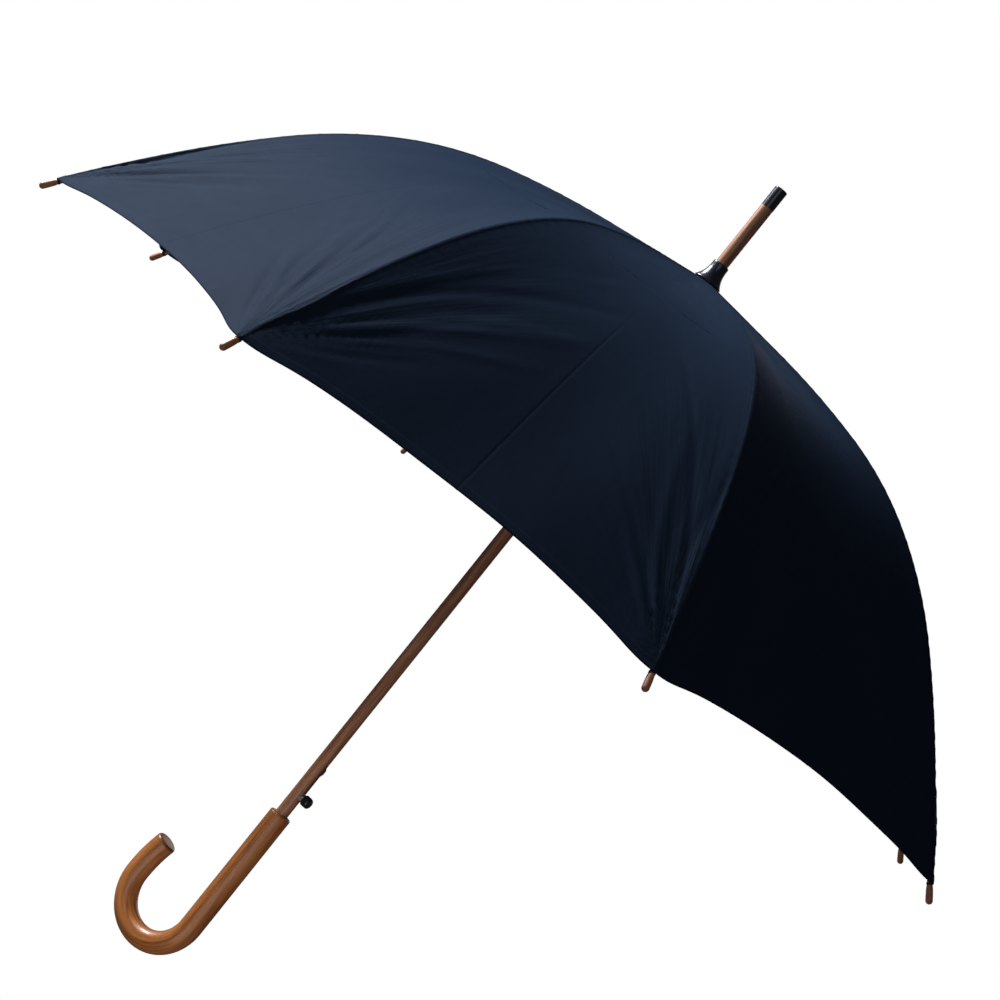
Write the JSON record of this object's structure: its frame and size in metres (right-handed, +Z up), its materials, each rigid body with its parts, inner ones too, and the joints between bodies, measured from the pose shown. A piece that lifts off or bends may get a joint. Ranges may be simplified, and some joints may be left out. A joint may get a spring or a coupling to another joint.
{
  "type": "stick umbrella",
  "caption": "Automatic stick umbrella with a turned wood crook handle, wood shaft and dark domed fabric canopy, shown open.",
  "frame": {"origin": "on the shaft's axis at the middle of the handle's straight grip", "axes": "+Z up the shaft towards the ferrule's tip, -X towards the hook of the crook, +X towards the push button"},
  "size_m": [1.0258, 1.0258, 0.9009],
  "materials": {
    "canopy": "smooth woven pongee, dark navy",
    "frame_steel": "plated steel",
    "tip_wood": "stained and lacquered",
    "shaft_wood": "stained and lacquered",
    "handle_wood": "stained and lacquered, satin gloss",
    "black_plastic": "gloss black",
    "button_black": "gloss black",
    "chrome": "polished",
    "spring_steel": "dark spring steel"
  },
  "bodies": {
    "stick": {"shaft": "shaft_wood", "handle": "handle_wood", "ferrule_cap": "black_plastic", "crown_cap": "black_plastic", "top_notch": "black_plastic", "button_neck": "chrome"},
    "runner": {"runner": "black_plastic"},
    "stretcher_hub": {"stretcher_hub": "black_plastic", "opening_spring": "spring_steel"},
    "release": {"button": "button_black", "catch": "spring_steel"},
    "rib_0": {"rib_inner_0": "frame_steel", "gore_0": "canopy"},
    "rib_end_0": {"rib_outer_0": "frame_steel", "rib_tip_0": "tip_wood"},
    "stretcher_0": {"stretcher_0": "frame_steel"},
    "flirt_0": {"flirt_0": "frame_steel"},
    "rib_1": {"rib_inner_1": "frame_steel", "gore_1": "canopy"},
    "rib_end_1": {"rib_outer_1": "frame_steel", "rib_tip_1": "tip_wood"},
    "stretcher_1": {"stretcher_1": "frame_steel"},
    "flirt_1": {"flirt_1": "frame_steel"},
    "rib_2": {"rib_inner_2": "frame_steel", "gore_2": "canopy"},
    "rib_end_2": {"rib_outer_2": "frame_steel", "rib_tip_2": "tip_wood"},
    "stretcher_2": {"stretcher_2": "frame_steel"},
    "flirt_2": {"flirt_2": "frame_steel"},
    "rib_3": {"rib_inner_3": "frame_steel", "gore_3": "canopy"},
    "rib_end_3": {"rib_outer_3": "frame_steel", "rib_tip_3": "tip_wood"},
    "stretcher_3": {"stretcher_3": "frame_steel"},
    "flirt_3": {"flirt_3": "frame_steel"},
    "rib_4": {"rib_inner_4": "frame_steel", "gore_4": "canopy"},
    "rib_end_4": {"rib_outer_4": "frame_steel", "rib_tip_4": "tip_wood"},
    "stretcher_4": {"stretcher_4": "frame_steel"},
    "flirt_4": {"flirt_4": "frame_steel"},
    "rib_5": {"rib_inner_5": "frame_steel", "gore_5": "canopy"},
    "rib_end_5": {"rib_outer_5": "frame_steel", "rib_tip_5": "tip_wood"},
    "stretcher_5": {"stretcher_5": "frame_steel"},
    "flirt_5": {"flirt_5": "frame_steel"},
    "rib_6": {"rib_inner_6": "frame_steel", "gore_6": "canopy"},
    "rib_end_6": {"rib_outer_6": "frame_steel", "rib_tip_6": "tip_wood"},
    "stretcher_6": {"stretcher_6": "frame_steel"},
    "flirt_6": {"flirt_6": "frame_steel"},
    "rib_7": {"rib_inner_7": "frame_steel", "gore_7": "canopy"},
    "rib_end_7": {"rib_outer_7": "frame_steel", "rib_tip_7": "tip_wood"},
    "stretcher_7": {"stretcher_7": "frame_steel"},
    "flirt_7": {"flirt_7": "frame_steel"}
  },
  "joints": [
    {"name": "runner_slide", "type": "slide", "parent": "stick", "child": "runner", "axis": [0, 0, -1], "range_m": [0, 0.33967], "stiffness_N_per_m": 60, "springref_m": -0.35},
    {"name": "hub_slide", "type": "slide", "parent": "stick", "child": "stretcher_hub", "axis": [0, 0, -1], "range_m": [0, 0.37374], "deforming": ["opening_spring"]},
    {"name": "rib_hinge_0", "type": "hinge", "parent": "stick", "child": "rib_0", "pos_m": [0.01, 0, 0.67261], "axis": [0, 1, 0], "range_deg": [0, 73.93], "deforming": ["gore_0"]},
    {"name": "rib_flex_0", "type": "hinge", "parent": "rib_0", "child": "rib_end_0", "pos_m": [0.24199, 0, 0.62215], "axis": [0, 1, 0], "range_deg": [-25.97, 0]},
    {"name": "stretcher_hinge_0", "type": "hinge", "parent": "rib_0", "child": "stretcher_0", "pos_m": [0.24199, 0, 0.62215], "axis": [0, 1, 0], "range_deg": [-147.66, 0]},
    {"name": "flirt_hinge_0", "type": "hinge", "parent": "stretcher_0", "child": "flirt_0", "pos_m": [0.06863, 0, 0.58444], "axis": [0, 1, 0], "range_deg": [0, 48.76]},
    {"name": "rib_hinge_1", "type": "hinge", "parent": "stick", "child": "rib_1", "pos_m": [0.00707, 0.00707, 0.67261], "axis": [-0.7071, 0.7071, 0], "range_deg": [0, 73.93], "deforming": ["gore_1"]},
    {"name": "rib_flex_1", "type": "hinge", "parent": "rib_1", "child": "rib_end_1", "pos_m": [0.17111, 0.17111, 0.62215], "axis": [-0.7071, 0.7071, 0], "range_deg": [-25.97, 0]},
    {"name": "stretcher_hinge_1", "type": "hinge", "parent": "rib_1", "child": "stretcher_1", "pos_m": [0.17111, 0.17111, 0.62215], "axis": [-0.7071, 0.7071, 0], "range_deg": [-147.66, 0]},
    {"name": "flirt_hinge_1", "type": "hinge", "parent": "stretcher_1", "child": "flirt_1", "pos_m": [0.04853, 0.04853, 0.58444], "axis": [-0.7071, 0.7071, 0], "range_deg": [0, 48.76]},
    {"name": "rib_hinge_2", "type": "hinge", "parent": "stick", "child": "rib_2", "pos_m": [0, 0.01, 0.67261], "axis": [-1, 0, 0], "range_deg": [0, 73.93], "deforming": ["gore_2"]},
    {"name": "rib_flex_2", "type": "hinge", "parent": "rib_2", "child": "rib_end_2", "pos_m": [0, 0.24199, 0.62215], "axis": [-1, 0, 0], "range_deg": [-25.97, 0]},
    {"name": "stretcher_hinge_2", "type": "hinge", "parent": "rib_2", "child": "stretcher_2", "pos_m": [0, 0.24199, 0.62215], "axis": [-1, 0, 0], "range_deg": [-147.66, 0]},
    {"name": "flirt_hinge_2", "type": "hinge", "parent": "stretcher_2", "child": "flirt_2", "pos_m": [0, 0.06863, 0.58444], "axis": [-1, 0, 0], "range_deg": [0, 48.76]},
    {"name": "rib_hinge_3", "type": "hinge", "parent": "stick", "child": "rib_3", "pos_m": [-0.00707, 0.00707, 0.67261], "axis": [-0.7071, -0.7071, 0], "range_deg": [0, 73.93], "deforming": ["gore_3"]},
    {"name": "rib_flex_3", "type": "hinge", "parent": "rib_3", "child": "rib_end_3", "pos_m": [-0.17111, 0.17111, 0.62215], "axis": [-0.7071, -0.7071, 0], "range_deg": [-25.97, 0]},
    {"name": "stretcher_hinge_3", "type": "hinge", "parent": "rib_3", "child": "stretcher_3", "pos_m": [-0.17111, 0.17111, 0.62215], "axis": [-0.7071, -0.7071, 0], "range_deg": [-147.66, 0]},
    {"name": "flirt_hinge_3", "type": "hinge", "parent": "stretcher_3", "child": "flirt_3", "pos_m": [-0.04853, 0.04853, 0.58444], "axis": [-0.7071, -0.7071, 0], "range_deg": [0, 48.76]},
    {"name": "rib_hinge_4", "type": "hinge", "parent": "stick", "child": "rib_4", "pos_m": [-0.01, 0, 0.67261], "axis": [0, -1, 0], "range_deg": [0, 73.93], "deforming": ["gore_4"]},
    {"name": "rib_flex_4", "type": "hinge", "parent": "rib_4", "child": "rib_end_4", "pos_m": [-0.24199, 0, 0.62215], "axis": [0, -1, 0], "range_deg": [-25.97, 0]},
    {"name": "stretcher_hinge_4", "type": "hinge", "parent": "rib_4", "child": "stretcher_4", "pos_m": [-0.24199, 0, 0.62215], "axis": [0, -1, 0], "range_deg": [-147.66, 0]},
    {"name": "flirt_hinge_4", "type": "hinge", "parent": "stretcher_4", "child": "flirt_4", "pos_m": [-0.06863, 0, 0.58444], "axis": [0, -1, 0], "range_deg": [0, 48.76]},
    {"name": "rib_hinge_5", "type": "hinge", "parent": "stick", "child": "rib_5", "pos_m": [-0.00707, -0.00707, 0.67261], "axis": [0.7071, -0.7071, 0], "range_deg": [0, 73.93], "deforming": ["gore_5"]},
    {"name": "rib_flex_5", "type": "hinge", "parent": "rib_5", "child": "rib_end_5", "pos_m": [-0.17111, -0.17111, 0.62215], "axis": [0.7071, -0.7071, 0], "range_deg": [-25.97, 0]},
    {"name": "stretcher_hinge_5", "type": "hinge", "parent": "rib_5", "child": "stretcher_5", "pos_m": [-0.17111, -0.17111, 0.62215], "axis": [0.7071, -0.7071, 0], "range_deg": [-147.66, 0]},
    {"name": "flirt_hinge_5", "type": "hinge", "parent": "stretcher_5", "child": "flirt_5", "pos_m": [-0.04853, -0.04853, 0.58444], "axis": [0.7071, -0.7071, 0], "range_deg": [0, 48.76]},
    {"name": "rib_hinge_6", "type": "hinge", "parent": "stick", "child": "rib_6", "pos_m": [0, -0.01, 0.67261], "axis": [1, 0, 0], "range_deg": [0, 73.93], "deforming": ["gore_6"]},
    {"name": "rib_flex_6", "type": "hinge", "parent": "rib_6", "child": "rib_end_6", "pos_m": [0, -0.24199, 0.62215], "axis": [1, 0, 0], "range_deg": [-25.97, 0]},
    {"name": "stretcher_hinge_6", "type": "hinge", "parent": "rib_6", "child": "stretcher_6", "pos_m": [0, -0.24199, 0.62215], "axis": [1, 0, 0], "range_deg": [-147.66, 0]},
    {"name": "flirt_hinge_6", "type": "hinge", "parent": "stretcher_6", "child": "flirt_6", "pos_m": [0, -0.06863, 0.58444], "axis": [1, 0, 0], "range_deg": [0, 48.76]},
    {"name": "rib_hinge_7", "type": "hinge", "parent": "stick", "child": "rib_7", "pos_m": [0.00707, -0.00707, 0.67261], "axis": [0.7071, 0.7071, 0], "range_deg": [0, 73.93], "deforming": ["gore_7"]},
    {"name": "rib_flex_7", "type": "hinge", "parent": "rib_7", "child": "rib_end_7", "pos_m": [0.17111, -0.17111, 0.62215], "axis": [0.7071, 0.7071, 0], "range_deg": [-25.97, 0]},
    {"name": "stretcher_hinge_7", "type": "hinge", "parent": "rib_7", "child": "stretcher_7", "pos_m": [0.17111, -0.17111, 0.62215], "axis": [0.7071, 0.7071, 0], "range_deg": [-147.66, 0]},
    {"name": "flirt_hinge_7", "type": "hinge", "parent": "stretcher_7", "child": "flirt_7", "pos_m": [0.04853, -0.04853, 0.58444], "axis": [0.7071, 0.7071, 0], "range_deg": [0, 48.76]},
    {"name": "button_press", "type": "slide", "parent": "stick", "child": "release", "axis": [-1, 0, 0], "range_m": [0, 0.003], "stiffness_N_per_m": 600, "springref_m": -0.003}
  ],
  "couplings": [
    {"joint": "hub_slide", "follows": "runner_slide", "ratio": 1.0974},
    {"joint": "rib_hinge_0", "follows": "runner_slide", "rad_per_m": 3.7884},
    {"joint": "rib_flex_0", "follows": "runner_slide", "rad_per_m": -1.3239},
    {"joint": "stretcher_hinge_0", "follows": "runner_slide", "rad_per_m": -7.5767},
    {"joint": "flirt_hinge_0", "follows": "runner_slide", "rad_per_m": 2.4949},
    {"joint": "rib_hinge_1", "follows": "runner_slide", "rad_per_m": 3.7884},
    {"joint": "rib_flex_1", "follows": "runner_slide", "rad_per_m": -1.3239},
    {"joint": "stretcher_hinge_1", "follows": "runner_slide", "rad_per_m": -7.5767},
    {"joint": "flirt_hinge_1", "follows": "runner_slide", "rad_per_m": 2.4949},
    {"joint": "rib_hinge_2", "follows": "runner_slide", "rad_per_m": 3.7884},
    {"joint": "rib_flex_2", "follows": "runner_slide", "rad_per_m": -1.3239},
    {"joint": "stretcher_hinge_2", "follows": "runner_slide", "rad_per_m": -7.5767},
    {"joint": "flirt_hinge_2", "follows": "runner_slide", "rad_per_m": 2.4949},
    {"joint": "rib_hinge_3", "follows": "runner_slide", "rad_per_m": 3.7884},
    {"joint": "rib_flex_3", "follows": "runner_slide", "rad_per_m": -1.3239},
    {"joint": "stretcher_hinge_3", "follows": "runner_slide", "rad_per_m": -7.5767},
    {"joint": "flirt_hinge_3", "follows": "runner_slide", "rad_per_m": 2.4949},
    {"joint": "rib_hinge_4", "follows": "runner_slide", "rad_per_m": 3.7884},
    {"joint": "rib_flex_4", "follows": "runner_slide", "rad_per_m": -1.3239},
    {"joint": "stretcher_hinge_4", "follows": "runner_slide", "rad_per_m": -7.5767},
    {"joint": "flirt_hinge_4", "follows": "runner_slide", "rad_per_m": 2.4949},
    {"joint": "rib_hinge_5", "follows": "runner_slide", "rad_per_m": 3.7884},
    {"joint": "rib_flex_5", "follows": "runner_slide", "rad_per_m": -1.3239},
    {"joint": "stretcher_hinge_5", "follows": "runner_slide", "rad_per_m": -7.5767},
    {"joint": "flirt_hinge_5", "follows": "runner_slide", "rad_per_m": 2.4949},
    {"joint": "rib_hinge_6", "follows": "runner_slide", "rad_per_m": 3.7884},
    {"joint": "rib_flex_6", "follows": "runner_slide", "rad_per_m": -1.3239},
    {"joint": "stretcher_hinge_6", "follows": "runner_slide", "rad_per_m": -7.5767},
    {"joint": "flirt_hinge_6", "follows": "runner_slide", "rad_per_m": 2.4949},
    {"joint": "rib_hinge_7", "follows": "runner_slide", "rad_per_m": 3.7884},
    {"joint": "rib_flex_7", "follows": "runner_slide", "rad_per_m": -1.3239},
    {"joint": "stretcher_hinge_7", "follows": "runner_slide", "rad_per_m": -7.5767},
    {"joint": "flirt_hinge_7", "follows": "runner_slide", "rad_per_m": 2.4949}
  ]
}
